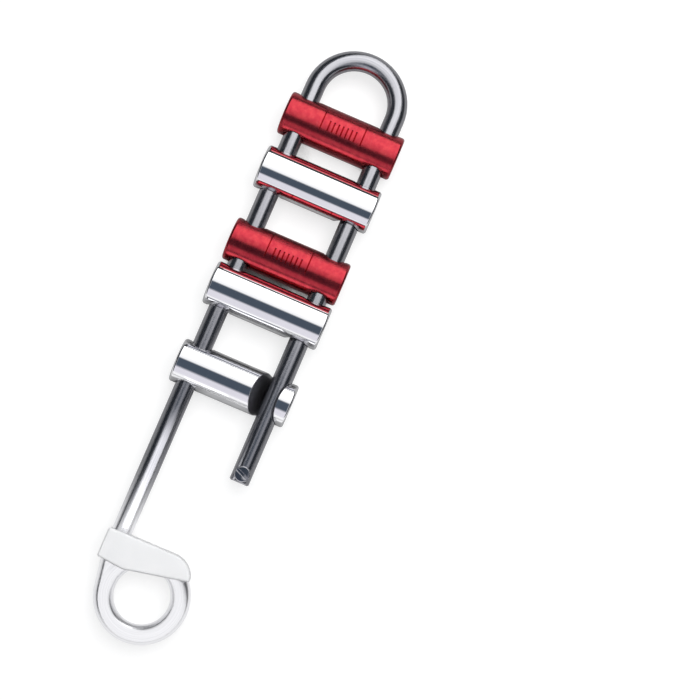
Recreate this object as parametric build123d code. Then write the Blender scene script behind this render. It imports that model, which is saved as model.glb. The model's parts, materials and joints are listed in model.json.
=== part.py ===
from build123d import *
import os
from math import cos, radians, sin

# A brake bar rack: a descender of one bent steel rod that carries five round bars.
# +X runs from the long leg to the short leg, +Y from the attachment eye to the arch,
# and +Z out of the front. The origin is the centre of the eye, in the plane of the rod.

# Driving dimensions, in millimetres and degrees

rod_diameter = 9.0
leg_spacing = 38.5  # between the axes of the two legs

eye_to_tip = 61.6  # from the eye's centre to the short leg's cut end
tip_length = 29.6  # bare end of the short leg, below the lowest bar
bar_gaps = (17.2, 1.8, 14.9, 7.1)  # free space between bars 5-4, 4-3, 3-2 and 2-1
arch_gap = 5.9  # straight leg left between bar 1 and the arch

bar_diameter = 20.0
bar_length = 54.5
bar_edge_radius = 1.2
hole_clearance = 0.3  # radial, between a bar and the rod
hole_offset = 1.3  # the legs pass this far from a bar's axis, towards its open side
mouth_chamfer = 0.6  # where a hole comes out of a bar
slot_slant = 23.0  # the slot leans towards the long leg as it leaves the bar
slot_play = 1.6  # the slot is this much wider than the rod
plain_band_length = 19.4  # between the two grooves of bars 1 and 3
band_groove_width = 0.4
band_groove_depth = 0.25
band_groove_arc = 150.0

eye_mean_radius = 16.8
eye_jog_angle = 10.0  # the long leg leans this much to meet the eye
eye_jog_radius = 40.0
tip_chamfer = 0.6

screw_inset = 4.1  # from the short leg's end to the screw's axis
screw_head_diameter = 7.2
screw_head_height = 2.6
screw_shank_diameter = 4.0
screw_seat_depth = 1.3  # the flat under the head, below the rod's crown
screw_slot_width = 1.3
screw_slot_depth = 1.1
screw_slot_angle = -22.0
screw_edge_chamfer = 0.4
screw_clearance = 0.05

keeper_thickness = 13.0
keeper_wall = 1.0  # plastic outside the rod, at the top and beside the leg
keeper_collar_height = 13.4
keeper_end_radius = 10.8
keeper_end_x = 6.2  # the middle of the rounded end
keeper_lower_slant = 11.7  # the lower edge rises towards the rounded end
keeper_edge_radius = 1.0
keeper_clearance = 0.1

# Sizes that follow from them

rod_radius = rod_diameter / 2
bar_radius = bar_diameter / 2
hole_radius = rod_radius + hole_clearance
long_leg_x = -leg_spacing / 2
short_leg_x = leg_spacing / 2
clear_of_all = 2 * bar_length  # longer than any cut has to be

bar_names = ("bar_5", "bar_4", "bar_3", "bar_2", "bar_1")
bar_y = {}
bar_bottom = eye_to_tip + tip_length
for name, gap_above in zip(bar_names, (*bar_gaps, arch_gap)):
    bar_y[name] = bar_bottom + bar_radius
    bar_bottom += bar_diameter + gap_above
arch_y = bar_bottom

screw_y = eye_to_tip + screw_inset
seat_z = rod_radius - screw_seat_depth


def rod(path, radius):
    """A round rod along a path that starts straight up from the short leg's end."""
    start = Plane(origin=path @ 0, z_dir=path % 0)
    return sweep(start * Circle(radius), path=path)


def leg_path():
    """The rod's centre line, from the short leg's end, over the arch, to the eye."""
    lean = radians(eye_jog_angle)
    jog_y = (
        leg_spacing / 2 * cos(lean)
        + eye_jog_radius * (1 - cos(lean))
        - eye_mean_radius
    ) / sin(lean)
    jog_centre = (long_leg_x + eye_jog_radius, jog_y)
    jog = CenterArc(jog_centre, eye_jog_radius, 180, eye_jog_angle)
    eye_touch = (-eye_mean_radius * cos(lean), -eye_mean_radius * sin(lean))
    return Wire(
        [
            Line((short_leg_x, eye_to_tip), (short_leg_x, arch_y)),
            CenterArc((0, arch_y), leg_spacing / 2, 0, 180),
            Line((long_leg_x, arch_y), (long_leg_x, jog_y)),
            jog,
            Line(jog @ 1, eye_touch),
        ]
    )


def bent_rod(extra=0.0):
    """The legs, the arch and the closed eye, optionally thicker by a clearance."""
    radius = rod_radius + extra
    return rod(leg_path(), radius) + Torus(eye_mean_radius, radius)


def make_frame():
    frame = bent_rod()
    tip = (short_leg_x, eye_to_tip, 0)
    tip_edge = frame.edges().filter_by(GeomType.CIRCLE).sort_by_distance(tip)[0]
    frame = chamfer(tip_edge, tip_chamfer)
    at_screw = Location((short_leg_x, screw_y, seat_z))
    seat_radius = screw_head_diameter / 2 + screw_clearance
    upwards = (Align.CENTER, Align.CENTER, Align.MIN)
    seat = at_screw * Cylinder(seat_radius, rod_diameter, align=upwards)
    hole_size = screw_shank_diameter / 2 + screw_clearance
    hole = at_screw * Cylinder(hole_size, 2 * rod_diameter)
    return frame - seat - hole


def make_screw():
    """A slotted screw across the tip of the short leg, which stops the bars."""
    upwards = (Align.CENTER, Align.CENTER, Align.MIN)
    head = Cylinder(screw_head_diameter / 2, screw_head_height, align=upwards)
    head = chamfer(head.edges().group_by(Axis.Z)[-1], screw_edge_chamfer)
    slot = Rot(0, 0, screw_slot_angle) * Box(
        2 * screw_head_diameter, screw_slot_width, 2 * screw_slot_depth
    )
    head -= Pos(0, 0, screw_head_height) * slot
    shank_length = seat_z + rod_radius
    downwards = (Align.CENTER, Align.CENTER, Align.MAX)
    shank = Cylinder(screw_shank_diameter / 2, shank_length, align=downwards)
    return Location((short_leg_x, screw_y, seat_z)) * (head + shank)


def along_leg(x, radius, length=clear_of_all):
    """A cylinder along Y, through the plane of the legs."""
    return Pos(x, 0, 0) * Rot(90, 0, 0) * Cylinder(radius, length)


def leg_hole(x):
    """A round hole for a leg, chamfered where it leaves the bar."""
    hole = along_leg(x, hole_radius)
    rim = hole_radius + mouth_chamfer
    flare = bar_radius - mouth_chamfer * 2
    for side in (1, -1):
        cone = Cone(hole_radius, rim, 2 * mouth_chamfer,
                    align=(Align.CENTER, Align.CENTER, Align.MIN))
        hole += Pos(x, side * flare, 0) * Rot(-90 * side, 0, 0) * cone
    return hole


def swing_slot():
    """The open slot at the short leg, with the way that the leg takes out of it."""
    width = rod_diameter + slot_play
    lean = radians(slot_slant)
    off_leg = slot_play / 2 - hole_clearance
    foot = Location((short_leg_x - off_leg * cos(lean), 0, -off_leg * sin(lean)))
    run = 2 * bar_diameter
    slot = Box(width, clear_of_all, run, align=(Align.CENTER, Align.CENTER, Align.MIN))
    slot += Rot(90, 0, 0) * Cylinder(width / 2, clear_of_all)
    slot = foot * Rot(0, -slot_slant, 0) * slot
    outer = along_leg(long_leg_x, leg_spacing + hole_radius)
    inner = along_leg(long_leg_x, leg_spacing - hole_radius)
    exit_side = Pos(short_leg_x, 0, 0) * Box(
        leg_spacing, clear_of_all, bar_diameter,
        align=(Align.CENTER, Align.CENTER, Align.MIN),
    )
    way_out = (outer - inner) & exit_side
    return slot + way_out + along_leg(short_leg_x, hole_radius)


def plain_bar():
    bar = Rot(0, 90, 0) * Cylinder(bar_radius, bar_length)
    bar = fillet(bar.edges().filter_by(GeomType.CIRCLE), bar_edge_radius)
    return Pos(0, 0, -hole_offset) * bar


def band_grooves():
    """Two shallow grooves over the front, each side of the bar's plain middle."""
    grooves = []
    for side in (1, -1):
        ring = Cylinder(bar_diameter, band_groove_width) - Cylinder(
            bar_radius - band_groove_depth, band_groove_width
        )
        grooves.append(
            Pos(side * plain_band_length / 2, 0, -hole_offset) * Rot(0, 90, 0) * ring
        )
    reach = bar_diameter * 2
    front = Pos(0, 0, bar_radius * cos(radians(band_groove_arc / 2)) - hole_offset) * Box(
        reach, reach, reach, align=(Align.CENTER, Align.CENTER, Align.MIN)
    )
    return (grooves[0] + grooves[1]) & front


def captive_bar():
    """A bar that both legs pass through, with its holes towards the front."""
    return plain_bar() - leg_hole(long_leg_x) - leg_hole(short_leg_x) - band_grooves()


def swing_bar():
    """A bar that turns on the long leg and opens at the short one, slot to the front."""
    return plain_bar() - leg_hole(long_leg_x) - swing_slot()


def make_keeper():
    """The moulded block that closes the top of the eye round the rod."""
    top = eye_mean_radius + rod_radius + keeper_wall
    left = long_leg_x - rod_radius - keeper_wall
    end_centre = (keeper_end_x, top - keeper_end_radius)
    rounded_end = CenterArc(
        end_centre, keeper_end_radius, keeper_lower_slant, 90 - keeper_lower_slant
    )
    eye_inside = rod_radius - eye_mean_radius
    slope = sin(radians(keeper_lower_slant)) / cos(radians(keeper_lower_slant))
    lower_left = (eye_inside, end_centre[1] + (eye_inside - keeper_end_x) * slope)
    collar_corner = (left, top - keeper_collar_height)
    outline = [
        rounded_end,
        Polyline(rounded_end @ 1, (left, top), collar_corner, lower_left, rounded_end @ 0),
    ]
    block = extrude(make_face(outline), keeper_thickness / 2, both=True)
    block = fillet(block.edges(), keeper_edge_radius)
    return block - bent_rod(keeper_clearance)


nodes = {
    "frame": make_frame(),
    "tip_screw": make_screw(),
    "eye_keeper": make_keeper(),
    "bar_1": Pos(0, bar_y["bar_1"], 0) * captive_bar(),
    "bar_2": Pos(0, bar_y["bar_2"], 0) * Rot(180, 0, 0) * swing_bar(),
    "bar_3": Pos(0, bar_y["bar_3"], 0) * captive_bar(),
    "bar_4": Pos(0, bar_y["bar_4"], 0) * Rot(180, 0, 0) * swing_bar(),
    "bar_5": Pos(0, bar_y["bar_5"], 0) * swing_bar(),
}

os.makedirs("parts", exist_ok=True)
for name, shape in nodes.items():
    export_step(shape, f"parts/{name}.step")
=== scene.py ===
import json
from math import atan2, cos, pi, radians, sin

import bmesh
import bpy
from mathutils import Matrix, Vector


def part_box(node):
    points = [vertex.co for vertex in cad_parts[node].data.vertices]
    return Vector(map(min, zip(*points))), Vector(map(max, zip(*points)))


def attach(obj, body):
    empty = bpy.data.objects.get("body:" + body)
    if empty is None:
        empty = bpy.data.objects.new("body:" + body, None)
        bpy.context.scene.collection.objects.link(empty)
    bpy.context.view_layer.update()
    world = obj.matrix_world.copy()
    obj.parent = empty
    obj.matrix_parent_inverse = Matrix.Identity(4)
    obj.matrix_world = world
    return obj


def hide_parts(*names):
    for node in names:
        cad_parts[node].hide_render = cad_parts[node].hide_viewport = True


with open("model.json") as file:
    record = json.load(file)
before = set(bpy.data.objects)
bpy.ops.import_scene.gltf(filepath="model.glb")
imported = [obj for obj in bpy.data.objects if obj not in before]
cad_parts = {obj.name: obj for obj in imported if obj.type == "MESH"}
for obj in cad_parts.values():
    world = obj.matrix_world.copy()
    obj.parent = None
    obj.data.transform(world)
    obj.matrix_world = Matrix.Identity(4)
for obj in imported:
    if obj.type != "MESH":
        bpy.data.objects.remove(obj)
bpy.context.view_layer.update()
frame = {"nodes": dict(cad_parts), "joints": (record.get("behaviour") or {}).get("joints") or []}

scene = bpy.context.scene
nodes = frame["nodes"]
longLegX = next(j for j in frame["joints"] if j["name"] == "bar_5_swing")["pos_m"][0]
print("frame loaded:", ", ".join(sorted(nodes)))


# Camera: above the rack as it lies on the table, turned a little towards its eye

cameraPlan = {
    "place": (0.0209, 0.0624, 0.750),
    "turns": (("Z", -23.06), ("X", -5.52), ("Y", 1.57)),
    "sensor": 36.0,
    "lens": 87.26,
}


def addCamera(plan):
    turn = Matrix.Identity(3)
    for axis, angle in plan["turns"]:
        turn = turn @ Matrix.Rotation(radians(angle), 3, axis)
    lens = bpy.data.cameras.new("camera")
    lens.sensor_width = plan["sensor"]
    lens.lens = plan["lens"]
    camera = bpy.data.objects.new("camera", lens)
    camera.matrix_world = Matrix.Translation(plan["place"]) @ turn.transposed().to_4x4()
    scene.collection.objects.link(camera)
    scene.camera = camera


addCamera(cameraPlan)
print("camera placed")


# Shader maths: a Wire is one socket, and Python's operators on it add Math nodes

class Wire:
    def __init__(self, tree, socket=None):
        self.tree = tree
        self.socket = socket

    def node(self, kind, settings, inputs, out=0):
        made = self.tree.nodes.new("ShaderNode" + kind)
        for key, value in settings.items():
            setattr(made, key, value)
        for key, value in inputs.items():
            if isinstance(value, Wire):
                self.tree.links.new(value.socket, made.inputs[key])
            else:
                made.inputs[key].default_value = value
        return Wire(self.tree, made.outputs[out])

    def maths(self, operation, *values):
        return self.node("Math", {"operation": operation}, dict(enumerate(values)))

    def __add__(self, other):
        return self.maths("ADD", self, other)

    def __sub__(self, other):
        return self.maths("SUBTRACT", self, other)

    def __rsub__(self, other):
        return self.maths("SUBTRACT", other, self)

    def __mul__(self, other):
        return self.maths("MULTIPLY", self, other)

    __radd__ = __add__
    __rmul__ = __mul__

    def step(self, start, end, low=0.0, high=1.0):  # a smooth rise from low to high
        settings = {"interpolation_type": "SMOOTHSTEP"}
        return self.node("MapRange", settings, {0: self, 1: start, 2: end, 3: low, 4: high})


def splitPoint(point):  # x, y and z as three Wires
    split = Wire(point.tree).node("SeparateXYZ", {}, {0: point}).socket.node
    return [Wire(point.tree, split.outputs[i]) for i in range(3)]


def objectPoint(tree):  # the point on the piece, in metres
    return Wire(tree).node("TexCoord", {}, {}, out=3)


def noise(point, scale, detail):
    settings = {"Vector": point, "Scale": scale, "Detail": detail}
    return Wire(point.tree).node("TexNoise", {}, settings)


def rings(place, scale):  # noise that changes along one measure only
    settings = {"W": place, "Scale": scale, "Detail": 2.0}
    return Wire(place.tree).node("TexNoise", {"noise_dimensions": "1D"}, settings)


def mixColour(factor, first, second):
    return Wire(factor.tree).node(
        "Mix", {"data_type": "RGBA"}, {0: factor, 6: first, 7: second}, out=2
    )


def startFinish(name, constants):
    material = bpy.data.materials.new(name)
    material.use_nodes = True
    shader = material.node_tree.nodes["Principled BSDF"]
    for socket, value in constants.items():
        shader.inputs[socket].default_value = value
    return material, material.node_tree, shader


def feed(shader, socket, wire):
    wire.tree.links.new(wire.socket, shader.inputs[socket])


bumpDistance = 0.00001  # the height, in metres, that a bump value of 1 stands for
mostNoise = (0.3, 0.7)  # nearly all values of a noise lie between these


def feedBump(shader, height):
    inputs = {"Height": height, "Distance": bumpDistance, "Strength": 1.0}
    feed(shader, "Normal", Wire(height.tree).node("Bump", {}, inputs))


# Modelling helpers

def only(piece):
    bpy.ops.object.select_all(action="DESELECT")
    piece.select_set(True)
    bpy.context.view_layer.objects.active = piece


def pick(test):  # in edit mode: selects the vertices whose place passes the test
    mesh = bmesh.from_edit_mesh(bpy.context.object.data)
    for vertex in mesh.verts:
        vertex.select = test(vertex.co)
    mesh.select_flush(True)
    mesh.select_flush(False)
    bmesh.update_edit_mesh(bpy.context.object.data)


def startCylinder(radius, depth, place, turn, sides):
    bpy.ops.object.select_all(action="DESELECT")
    bpy.ops.mesh.primitive_cylinder_add(
        vertices=sides, radius=radius, depth=depth, location=place, rotation=turn
    )
    bpy.ops.object.transform_apply(location=True, rotation=True, scale=True)
    return bpy.context.object


def cutAway(piece, cutter):
    only(piece)
    cut = piece.modifiers.new("cut", "BOOLEAN")
    cut.object = cutter
    cut.solver = "EXACT"
    bpy.ops.object.modifier_apply(modifier=cut.name)
    bpy.data.objects.remove(cutter)


# Bent rod: fine grinding marks run round it and drawn lines run along it, over the arch and round
# the eye, and the steel is painted lighter towards the eye, a painted highlight on the legs there

rodPlan = {
    "archY": 0.2381,  # where the straight legs end and the arch starts
    "archRadius": -longLegX,
    "eyeRadius": 0.0168,
    "eyeReach": 0.0240,  # nearer to the eye's centre than this the marks run round the eye
    "eyeBlend": 0.0005,
}
steelPlan = {
    "colours": ((0.43, 0.43, 0.46, 1), (0.52, 0.52, 0.55, 1)),
    "roughness": (0.18, 0.26),
    "grind": 9000,  # cells in a metre of rod
    "grindDepth": 2.0,
    "grindStretch": 0.04,
    "drawn": 2600,
    "drawnDepth": 1.2,
    "drawnStretch": 0.012,
    "cloud": 60,
    "uneven": (0.35, 0.65),  # cloud and drawn lines together, from smooth to rough
    # painted highlight: much lighter steel colours towards the eye
    "highlightColours": ((0.84, 0.84, 0.86, 1), (0.92, 0.92, 0.94, 1)),
    "highlightFrom": 0.060,
    "highlightFull": 0.020,
}


def alongRod(plan, x, y):  # how far up the legs, over the arch or round the eye, and how far aside
    past = (y - plan["archY"]).maths("MAXIMUM", y - plan["archY"], 0.0)
    up = y.maths("MINIMUM", y, plan["archY"])
    over = y.maths("ARCTAN2", past, x.maths("ABSOLUTE", x)) * plan["archRadius"]
    ringwise = y.maths("ARCTAN2", x, y * -1) * plan["eyeRadius"]
    away = y.maths("SQRT", x * x + y * y)
    atEye = 1 - away.step(plan["eyeReach"] - plan["eyeBlend"], plan["eyeReach"] + plan["eyeBlend"])
    along = (up + over) * (1 - atEye) + ringwise * atEye
    aside = y.maths("SQRT", x * x + past * past) * (1 - atEye) + away * atEye
    return along, aside


def polishedSteel(name, plan):
    material, tree, shader = startFinish(name, {"Metallic": 1.0})
    point = objectPoint(tree)
    x, y, z = splitPoint(point)
    wire = Wire(tree)
    along, aside = alongRod(rodPlan, x, y)
    thin = plan["grindStretch"]
    marks = wire.node("CombineXYZ", {}, {0: along, 1: aside * thin, 2: z * thin})
    grind = noise(marks, plan["grind"], 2.0)
    lines = wire.node("CombineXYZ", {}, {0: along * plan["drawnStretch"], 1: aside, 2: z})
    drawn = noise(lines, plan["drawn"], 3.0)
    cloud = noise(point, plan["cloud"], 3.0)
    usual = mixColour(drawn.step(*mostNoise), *plan["colours"])
    # painted highlight: the rod's colour turns lighter towards the eye
    highlightColours = mixColour(drawn.step(*mostNoise), *plan["highlightColours"])
    paintedHighlightMask = y.step(plan["highlightFull"], plan["highlightFrom"], 1.0, 0.0)
    feed(shader, "Base Color", mixColour(paintedHighlightMask, usual, highlightColours))
    uneven = cloud * 0.5 + drawn * 0.5
    feed(shader, "Roughness", uneven.step(*plan["uneven"], *plan["roughness"]))
    feedBump(shader, grind * plan["grindDepth"] + drawn * plan["drawnDepth"])
    return material


# Eye keeper: a milky moulding

plasticPlan = {
    "colours": ((0.92, 0.925, 0.94, 1), (0.98, 0.98, 0.985, 1)),
    "roughness": (0.30, 0.44),
    "cloud": 110,
    "spark": 1500,
    "constants": {
        "Transmission Weight": 0.1,
        "Subsurface Weight": 0.5,
        "Subsurface Scale": 0.002,
        "Subsurface Radius": (1, 1, 1),
        "IOR": 1.46,
    },
}


def milkyPlastic(name, plan):
    material, tree, shader = startFinish(name, plan["constants"])
    point = objectPoint(tree)
    cloud = noise(point, plan["cloud"], 4.0)
    feed(shader, "Base Color", mixColour(cloud.step(0, 1), *plan["colours"]))
    feed(shader, "Roughness", cloud.step(0, 1, *plan["roughness"]))
    feedBump(shader, noise(point, plan["spark"], 2.0))
    return material


def finishNode(name, finish):
    mesh = nodes[name].data
    mesh.materials.clear()
    mesh.materials.append(finish)


finishNode("frame", polishedSteel("polishedSteel", steelPlan))
finishNode("eye_keeper", milkyPlastic("milkyPlastic", plasticPlan))
print("frame and keeper finished")


# Bar finishes: lathe marks round the barrel, rings on the end faces, milling marks on the cut
# surfaces inside, and fine rubs from the rope round the barrel

markPlan = {
    "barrel": (0.00962, 0.00975),  # out from the axis: cut surfaces lie within the first
    "nearEnd": (0.0267, 0.02685),  # and short of this from the bar's middle
    "endFace": (0.02712, 0.02722),
    "lathe": 5200,
    "rings": 3800,
    "milled": 2600,
    "milledStretch": (1.0, 0.05, 0.3),
    "rub": 3400,
    "rubStretch": (0.0006, 0.1),
    "rubFrom": (0.60, 0.74),
}


def barPlace(tree, middle):  # the point from the bar's own middle, along it, out and round its axis
    point = objectPoint(tree)
    centred = Wire(tree).node("Mapping", {"vector_type": "POINT"}, {0: point, 1: -middle})
    x, y, z = splitPoint(centred)
    return centred, x, x.maths("SQRT", y * y + z * z), x.maths("ARCTAN2", y, z)


def barMarks(tree, depths, centred, x, out, around):
    wire = Wire(tree)
    plan = markPlan
    length = x.maths("ABSOLUTE", x)
    inside = (1 - out.step(*plan["barrel"])) * (1 - length.step(*plan["nearEnd"]))
    end = length.step(*plan["endFace"])
    turned = wire.node(
        "Mapping", {"vector_type": "POINT"}, {0: centred, 3: plan["milledStretch"]}
    )
    milled = noise(turned, plan["milled"], 3.0) * inside
    roundwise, outwise = plan["rubStretch"]
    across = wire.node("CombineXYZ", {}, {0: x, 1: around * roundwise, 2: out * outwise})
    rub = noise(across, plan["rub"], 4.0).step(*plan["rubFrom"])
    height = rings(x, plan["lathe"]) * depths["lathe"]
    height = height + rings(out, plan["rings"]) * end * depths["rings"]
    return inside, end, rub, height + milled * depths["milled"]


mirrorPlan = {
    "colours": ((0.90, 0.90, 0.92, 1), (0.95, 0.95, 0.965, 1)),
    "roughness": (0.045, 0.085),
    "cloud": 90,
    # painted shade: the cut surfaces inside the slot and holes are coloured darker
    "cutShadeColour": (0.50, 0.50, 0.52, 1),
    "cutRoughness": 0.30,
    "rubRoughness": 0.10,
    "endRoughness": 0.08,
    "lathe": 0.05,
    "rings": 1.2,
    "milled": 3.0,
}


def mirrorAluminium(name, plan, middle):
    material, tree, shader = startFinish(name, {"Metallic": 1.0})
    centred, x, out, around = barPlace(tree, middle)
    inside, end, rub, height = barMarks(tree, plan, centred, x, out, around)
    cloud = noise(centred, plan["cloud"], 4.0)
    bright = mixColour(cloud.step(*mostNoise), *plan["colours"])
    # painted shade: darker colour on the cut surfaces inside the slot and holes
    feed(shader, "Base Color", mixColour(inside, bright, plan["cutShadeColour"]))
    roughness = cloud.step(*mostNoise, *plan["roughness"]) + rub * plan["rubRoughness"]
    roughness = roughness + end * plan["endRoughness"] + inside * plan["cutRoughness"]
    feed(shader, "Roughness", roughness)
    feedBump(shader, height)
    return material


redPlan = {
    "colours": ((0.46, 0.015, 0.034, 1), (0.57, 0.036, 0.050, 1)),
    "cloud": 420,
    "worn": (0.80, 0.30, 0.30, 1),
    "wear": 0.16,
    "roughness": (0.19, 0.265),
    "cutRoughness": 0.12,
    "coat": {"Metallic": 1.0, "Coat Weight": 0.5, "Coat Roughness": 0.28},
    "lathe": 0.5,
    "rings": 1.6,
    "milled": 2.0,
    "grain": 5200,
    "grainDepth": 1.5,
}


def redAnodised(name, plan, middle):
    material, tree, shader = startFinish(name, plan["coat"])
    centred, x, out, around = barPlace(tree, middle)
    inside, end, rub, height = barMarks(tree, plan, centred, x, out, around)
    cloud = noise(centred, plan["cloud"], 5.0)
    grain = noise(centred, plan["grain"], 2.0)
    dye = mixColour(cloud.step(*mostNoise), *plan["colours"])
    feed(shader, "Base Color", mixColour(rub * plan["wear"], dye, plan["worn"]))
    roughness = grain.step(*mostNoise, *plan["roughness"]) + inside * plan["cutRoughness"]
    feed(shader, "Roughness", roughness)
    feedBump(shader, height + grain * plan["grainDepth"])
    return material


# Bars: turned from round bar and drilled for the long leg. Bars 1 and 3 are drilled for the short
# leg too and have a line each side of their plain middle and a short scale in it, and the others
# have a slanting milled slot

barPlan = {
    "captive": ("bar_1", "bar_3"),
    "radius": 0.010,
    "length": 0.0545,
    "sides": 256,
    "endRadius": 0.0012,
    "endSegments": 6,
    "holeRadius": 0.0048,
    "countersink": 0.0006,
    "slotWidth": 0.01118,
    "slotSlant": radians(23.5),
    "slotShift": 0.00094,  # the slot's middle stands this far to the long leg's side
    "cutterSides": 96,
    "cutterLength": 0.030,
    "edgeBreak": 0.00022,
    "lines": {
        "at": (-0.0097, 0.0097),
        "halfWidth": 0.00032,
        "depth": 0.0003,
        "from": radians(-18),
        "to": radians(75),
    },
    "ticks": {
        "at": [0.0021 * step for step in range(-3, 4)],
        "halfWidth": 0.00034,
        "depth": 0.00032,
        "from": radians(-13),
        "to": radians(13),
    },
    "sharp": radians(38),
}
near = 0.00001  # a vertex this close to a plane counts as on it
merged = 0.00002  # after the cuts, vertices closer than this become one
bevelMerged = 0.000002  # and after the edges are broken


def turnedBar(plan, middle):
    bar = startCylinder(plan["radius"], plan["length"], middle, (0, pi / 2, 0), plan["sides"])
    bpy.ops.object.mode_set(mode="EDIT")
    for side in (1, -1):
        pick(lambda place: side * place.x > plan["length"] / 2 - near)
        bpy.ops.mesh.bevel(
            offset=plan["endRadius"], segments=plan["endSegments"], affect="EDGES"
        )
    bpy.ops.object.mode_set(mode="OBJECT")
    return bar


def drill(bar, plan, place):
    drillBit = startCylinder(
        plan["holeRadius"], plan["cutterLength"], place, (pi / 2, 0, 0), plan["cutterSides"]
    )
    bpy.ops.object.mode_set(mode="EDIT")
    for side in (1, -1):
        for reach in (plan["radius"] - 2 * plan["countersink"], plan["radius"]):
            bpy.ops.mesh.select_all(action="SELECT")
            at = place + Vector((0, side * reach, 0))
            bpy.ops.mesh.bisect(plane_co=at, plane_no=(0, 1, 0))
    pick(lambda spot: abs(spot.y - place.y) > plan["radius"] - near)
    wider = 1 + plan["countersink"] / plan["holeRadius"]
    bpy.ops.transform.resize(value=(wider, 1, wider), center_override=place)
    bpy.ops.object.mode_set(mode="OBJECT")
    cutAway(bar, drillBit)


def millSlot(bar, plan, leg, facing):
    outwards = Vector((-sin(plan["slotSlant"]), 0, facing * cos(plan["slotSlant"])))
    across = Vector((cos(plan["slotSlant"]), 0, facing * sin(plan["slotSlant"])))
    foot = leg - across * plan["slotShift"]
    mill = startCylinder(
        plan["slotWidth"] / 2, plan["cutterLength"], foot, (pi / 2, 0, 0), plan["cutterSides"]
    )
    bpy.ops.object.mode_set(mode="EDIT")
    pick(lambda place: (place - foot).dot(outwards) > -near)
    bpy.ops.transform.translate(value=outwards * plan["cutterLength"])
    bpy.ops.object.mode_set(mode="OBJECT")
    cutAway(bar, mill)


def breakEdges(piece, plan):
    only(piece)
    bpy.ops.object.mode_set(mode="EDIT")
    bpy.ops.mesh.select_all(action="SELECT")
    bpy.ops.mesh.remove_doubles(threshold=merged)
    bpy.ops.mesh.select_all(action="DESELECT")
    bpy.context.tool_settings.mesh_select_mode = (False, True, False)
    bpy.ops.mesh.edges_select_sharp(sharpness=plan["sharp"])
    bpy.ops.mesh.bevel(
        offset=plan["edgeBreak"], segments=2, affect="EDGES", clamp_overlap=False
    )
    bpy.context.tool_settings.mesh_select_mode = (True, False, False)
    bpy.ops.mesh.select_all(action="SELECT")
    bpy.ops.mesh.remove_doubles(threshold=bevelMerged)
    bpy.ops.object.mode_set(mode="OBJECT")


def scribe(bar, plan, middle, lines):  # v-shaped lines part of the way round the front
    only(bar)
    bpy.ops.object.mode_set(mode="EDIT")
    deeper = 1 - lines["depth"] / plan["radius"]
    for at in lines["at"]:
        for shift in (-1, 0, 1):
            bpy.ops.mesh.select_all(action="SELECT")
            cut = at + shift * lines["halfWidth"]
            bpy.ops.mesh.bisect(plane_co=(cut, 0, 0), plane_no=(1, 0, 0))
        pick(lambda place: abs(place.x - at) < lines["halfWidth"] / 2
             and lines["from"] < atan2(place.y - middle.y, place.z - middle.z) < lines["to"])
        bpy.ops.transform.resize(value=(1, deeper, deeper), center_override=middle)
    bpy.ops.object.mode_set(mode="OBJECT")


def smoothBarrel(bar, plan):  # the long faces keep their normals, so the barrel shades as turned
    bpy.ops.object.shade_smooth_by_angle(angle=plan["sharp"])
    bpy.ops.object.modifier_add(type="WEIGHTED_NORMAL")
    bar.modifiers[-1].keep_sharp = True
    bpy.ops.object.modifier_apply(modifier=bar.modifiers[-1].name)


def makeBar(name, plan, captive):
    low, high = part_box(name)
    middle = (low + high) / 2
    bar = turnedBar(plan, middle)
    drill(bar, plan, Vector((longLegX, middle.y, 0)))
    shortLeg = Vector((-longLegX, middle.y, 0))
    if captive:
        drill(bar, plan, shortLeg)
    else:
        millSlot(bar, plan, shortLeg, -1 if middle.z > 0 else 1)
    breakEdges(bar, plan)
    if captive:
        scribe(bar, plan, middle, plan["lines"])
        scribe(bar, plan, middle, plan["ticks"])
        finish = redAnodised("redAnodised_" + name, redPlan, middle)
    else:
        finish = mirrorAluminium("mirrorAluminium_" + name, mirrorPlan, middle)
    smoothBarrel(bar, plan)
    bar.name = name + "_turned"
    bar.data.materials.append(finish)
    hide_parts(name)
    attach(bar, name + "_body")


for name in ("bar_1", "bar_2", "bar_3", "bar_4", "bar_5"):
    makeBar(name, barPlan, name in barPlan["captive"])
print("bars turned, drilled and milled")


# Tip screw: a slotted head with a rounded rim, and a plain shank through the short leg

screwPlan = {
    "headRadius": 0.0036,
    "headHeight": 0.0026,
    "rimRadius": 0.0006,
    "rimSegments": 6,
    "shankRadius": 0.0020,
    "endRadius": 0.0004,
    "endSegments": 3,
    "slotWidth": 0.0013,
    "slotDepth": 0.0011,
    "slotTurn": radians(-22),
    "sides": 72,
    "edgeBreak": 0.00014,
    "sharp": radians(38),
    "finish": {**steelPlan, "roughness": (0.10, 0.16), "grindDepth": 0.1, "drawnDepth": 0.2},
}


def slotCutter(plan, middle, top):
    bpy.ops.object.select_all(action="DESELECT")
    bpy.ops.mesh.primitive_cube_add(
        size=1,
        location=(middle.x, middle.y, top),
        rotation=(0, 0, plan["slotTurn"]),
        scale=(4 * plan["headRadius"], plan["slotWidth"], 2 * plan["slotDepth"]),
    )
    bpy.ops.object.transform_apply(location=True, rotation=True, scale=True)
    return bpy.context.object


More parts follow.
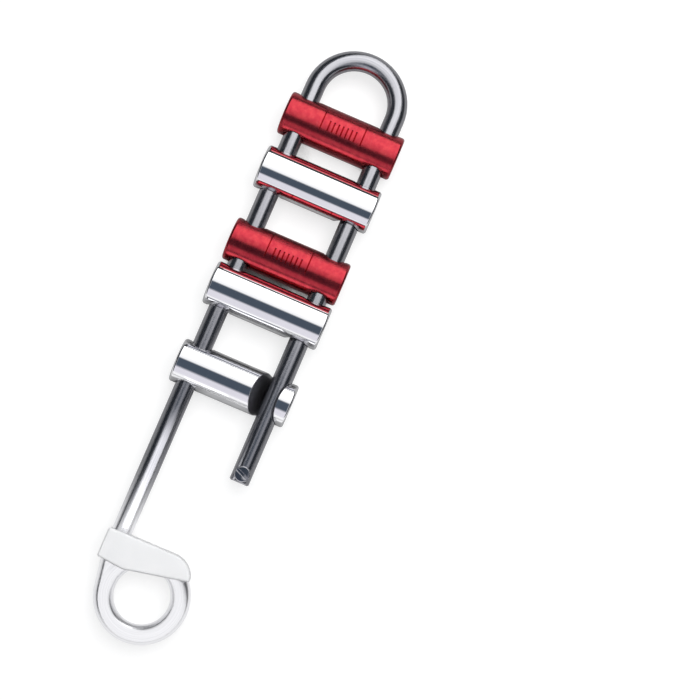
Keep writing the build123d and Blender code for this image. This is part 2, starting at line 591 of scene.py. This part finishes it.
def makeScrew(plan):
    low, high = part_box("tip_screw")
    middle = (low + high) / 2
    seat = high.z - plan["headHeight"]
    place = (middle.x, middle.y, high.z - plan["headHeight"] / 2)
    screw = startCylinder(plan["headRadius"], plan["headHeight"], place, (0, 0, 0), plan["sides"])
    bpy.ops.object.mode_set(mode="EDIT")
    pick(lambda place: place.z > high.z - near)
    bpy.ops.mesh.bevel(offset=plan["rimRadius"], segments=plan["rimSegments"], affect="EDGES")
    pick(lambda place: place.z < seat + near)
    bpy.ops.mesh.inset(thickness=plan["headRadius"] - plan["shankRadius"])
    bpy.ops.mesh.extrude_region_move(TRANSFORM_OT_translate={"value": (0, 0, low.z - seat)})
    pick(lambda place: place.z < low.z + near)
    bpy.ops.mesh.bevel(offset=plan["endRadius"], segments=plan["endSegments"], affect="EDGES")
    bpy.ops.object.mode_set(mode="OBJECT")
    cutAway(screw, slotCutter(plan, middle, high.z))
    breakEdges(screw, plan)
    bpy.ops.object.shade_smooth_by_angle(angle=plan["sharp"])
    screw.name = "tip_screw_turned"
    screw.data.materials.append(polishedSteel("screwSteel", plan["finish"]))
    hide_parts("tip_screw")
    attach(screw, "frame_body")


makeScrew(screwPlan)
print("screw turned and slotted")


# Studio: a dark room with one level sheet of light over the rack, brightest past the arch, less
# bright past the eye and dim over the lowest bar, and two low white cards, over the eye and over
# the foot of the long leg. The sheet and the cards show in reflections and light nothing else. A
# lamp high above lights the floor and the plastic

roomPlan = {"colour": (0.030, 0.036, 0.045, 1)}


def darkRoom(plan):
    scene.world = bpy.data.worlds.new("room")
    scene.world.use_nodes = True
    scene.world.node_tree.nodes["Background"].inputs["Color"].default_value = plan["colour"]


darkRoom(roomPlan)


def lightSheet(name, across, along, height):  # a level sheet that shows in reflections only
    bpy.ops.object.select_all(action="DESELECT")
    place = (sum(across) / 2, sum(along) / 2, height)
    bpy.ops.mesh.primitive_plane_add(size=1, location=place)
    bpy.ops.transform.resize(value=(across[1] - across[0], along[1] - along[0], 1))
    bpy.ops.object.transform_apply(location=True, rotation=True, scale=True)
    sheet = bpy.context.object
    sheet.name = name
    sheet.visible_camera = False
    sheet.visible_diffuse = False
    sheet.visible_shadow = False
    material = bpy.data.materials.new(name)
    material.use_nodes = True
    sheet.data.materials.append(material)
    return material.node_tree


def feedSurface(wire):
    wire.tree.links.new(wire.socket, wire.tree.nodes["Material Output"].inputs["Surface"])


softboxPlan = {
    "height": 0.27,
    "across": (-0.155, 0.215),
    "between": (0.066, 0.085, 0.115, 1),  # the dim gap over the lowest bar
    "aside": {"from": 0.058, "to": 0.085, "shift": 0.018, "colour": (0.42, 0.43, 0.46, 1)},
    "archSide": {
        "near": 0.128,
        "softTo": 0.174,
        "soft": (1.0, 1.0, 1.01, 1),
        "full": 0.36,
        "end": 1.3,
        "colour": (1.6, 1.6, 1.6, 1),
    },
    "eyeSide": {"near": -0.045, "full": -0.150, "end": -1.6, "colour": (0.77, 0.755, 0.82, 1)},
}


def softboxes(plan):
    arch, eye, aside = plan["archSide"], plan["eyeSide"], plan["aside"]
    tree = lightSheet("softboxes", plan["across"], (eye["end"], arch["end"]), plan["height"])
    x, y, _ = splitPoint(objectPoint(tree))
    out = x.maths("ABSOLUTE", x + aside["shift"]).step(aside["from"], aside["to"])
    gap = mixColour(out, plan["between"], aside["colour"])
    high = mixColour(y.step(arch["softTo"], arch["full"]), arch["soft"], arch["colour"])
    colour = mixColour(y.step(arch["near"], arch["softTo"]), gap, high)
    colour = mixColour(y.step(eye["full"], eye["near"], 1, 0), colour, eye["colour"])
    feedSurface(Wire(tree).node("Emission", {}, {"Color": colour}))


softboxes(softboxPlan)

eyeCardPlan = {
    "height": 0.030,
    "across": (-0.060, 0.200),
    "along": (-0.250, 0.055),
    "fade": 0.0,  # from here to its edge the card lets the rest through
    "colour": (1.0, 1.0, 1.01, 1),
}


def lowCard(name, plan):
    tree = lightSheet(name, plan["across"], plan["along"], plan["height"])
    y = splitPoint(objectPoint(tree))[1]
    wire = Wire(tree)
    glow = wire.node("Emission", {}, {"Color": plan["colour"]})
    clear = wire.node("BsdfTransparent", {}, {})
    fading = y.step(plan["fade"], plan["along"][1])
    feedSurface(wire.node("MixShader", {}, {0: fading, 1: glow, 2: clear}))


legCardPlan = {
    "height": 0.012,
    "across": (-0.0222, -0.001),
    "along": (0.024, 0.084),
    "fade": 0.062,
    "colour": (1.7, 1.7, 1.72, 1),
}

lowCard("eye_card", eyeCardPlan)
lowCard("leg_card", legCardPlan)

lampPlan = {"place": (0.1, 0.5, 1.2), "size": 1.4, "watts": 24}


def highLamp(plan):
    light = bpy.data.lights.new("lamp", "AREA")
    light.size = plan["size"]
    light.energy = plan["watts"]
    lamp = bpy.data.objects.new("lamp", light)
    lamp.location = plan["place"]
    lamp.rotation_mode = "QUATERNION"
    lamp.rotation_quaternion = Vector(plan["place"]).to_track_quat("Z", "Y")
    lamp.visible_glossy = False
    lamp.visible_camera = False
    scene.collection.objects.link(lamp)


highLamp(lampPlan)

floorPlan = {
    "radius": 3.5,
    "sides": 96,
    "wallHeight": 0.9,
    "colour": (0.36, 0.36, 0.36, 1),
    "roughness": 0.9,
    "lift": 0.70,  # for the camera, so that the unshadowed floor is white
    "fadeFrom": 0.45,  # from here outwards the lift rises to 1
    "fadeTo": 1.6,
    "gapReach": 0.012,  # what stands nearer than this hides the sky from the floor
    "gapShade": (0.24, 0.38),  # no lift where less of the sky is open than the first
    "gapSamples": 24,
    "mirrored": 0.03,  # what the metal mirrors of the floor, away from the eye
    "mirroredEye": 0.52,
    "eyeFrom": 0.055,
    "eyeFull": 0.020,
}


def paleFinish(name, plan):
    constants = {
        "Base Color": plan["colour"],
        "Roughness": plan["roughness"],
        "Emission Strength": 1.0,
    }
    material, tree, shader = startFinish(name, constants)
    wire = Wire(tree)
    point = objectPoint(tree)
    y = splitPoint(point)[1]
    away = wire.node("VectorMath", {"operation": "LENGTH"}, {0: point}, out=1)
    samples = {"samples": plan["gapSamples"]}
    sky = wire.node("AmbientOcclusion", samples, {"Distance": plan["gapReach"]}, out=1)
    lift = away.step(plan["fadeFrom"], plan["fadeTo"], plan["lift"], 1.0)
    lift = lift * sky.step(*plan["gapShade"])
    path = wire.node("LightPath", {}, {}).socket.node
    direct = Wire(tree, path.outputs["Is Camera Ray"])
    direct = direct + Wire(tree, path.outputs["Is Transmission Ray"])
    shown = y.step(plan["eyeFull"], plan["eyeFrom"], plan["mirroredEye"], plan["mirrored"])
    mirrored = Wire(tree, path.outputs["Is Glossy Ray"]) * shown
    glow = mixColour(direct * lift + mirrored, (0, 0, 0, 1), (1, 1, 1, 1))
    feed(shader, "Emission Color", glow)
    return material


def paleFloor(plan):
    height = min(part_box(name)[0].z for name in nodes)
    bpy.ops.object.select_all(action="DESELECT")
    bpy.ops.mesh.primitive_circle_add(
        vertices=plan["sides"], radius=plan["radius"], fill_type="NGON", location=(0, 0, height)
    )
    bpy.ops.object.transform_apply(location=True, rotation=True, scale=True)
    floor = bpy.context.object
    floor.name = "floor"
    bpy.ops.object.mode_set(mode="EDIT")
    bpy.ops.mesh.select_all(action="SELECT")
    bpy.ops.mesh.extrude_edges_move(TRANSFORM_OT_translate={"value": (0, 0, plan["wallHeight"])})
    bpy.ops.object.mode_set(mode="OBJECT")
    floor.data.materials.append(paleFinish("paleFloor", plan))


paleFloor(floorPlan)
print("studio lit")

scene.view_settings.view_transform = "Standard"
